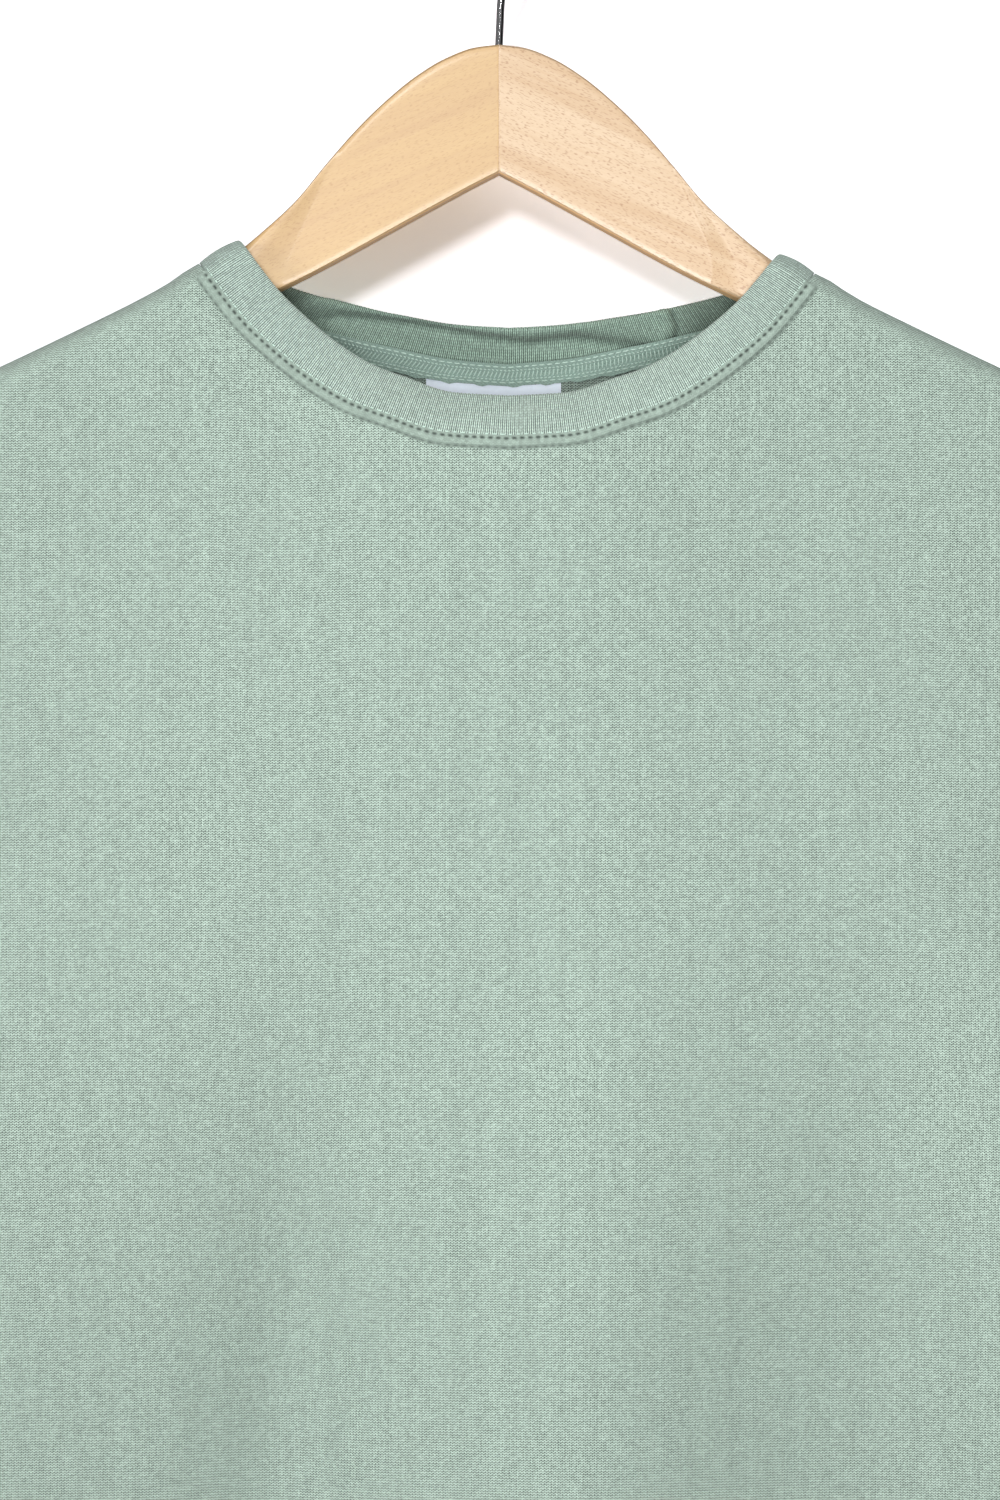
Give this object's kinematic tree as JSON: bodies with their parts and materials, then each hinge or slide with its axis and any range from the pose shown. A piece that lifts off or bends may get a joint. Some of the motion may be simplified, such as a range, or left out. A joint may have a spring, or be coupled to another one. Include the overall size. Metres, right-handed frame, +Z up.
{
  "type": "crew-neck sweatshirt on a wooden clothes hanger",
  "caption": "Sage-green crew-neck sweatshirt with rib neckband, cuffs and hem, hanging on a flat beech hanger with a chrome wire hook.",
  "frame": {"origin": "inner top of the hanger's hook, where a rail carries it", "axes": "+X towards the viewer's right along the shoulders, +Y from the front of the garment to its back, +Z up"},
  "size_m": [0.8536, 0.0636, 0.8085],
  "materials": {
    "jersey": "matt melange jersey knit",
    "rib": "matt 1x1 rib knit",
    "tape": "matt woven tape",
    "label": "smooth white satin, blank",
    "wood": "clear satin lacquer on beech",
    "chrome": "polished"
  },
  "bodies": {
    "root": {"front": "jersey", "back": "jersey", "sleeve_left": "jersey", "sleeve_right": "jersey", "cuff_left": "rib", "cuff_right": "rib", "hem_band": "rib", "neckband": "rib", "neck_tape": "tape", "label": "label", "hanger_arm_left": "wood", "hanger_arm_right": "wood", "hook": "chrome"}
  },
  "joints": []
}
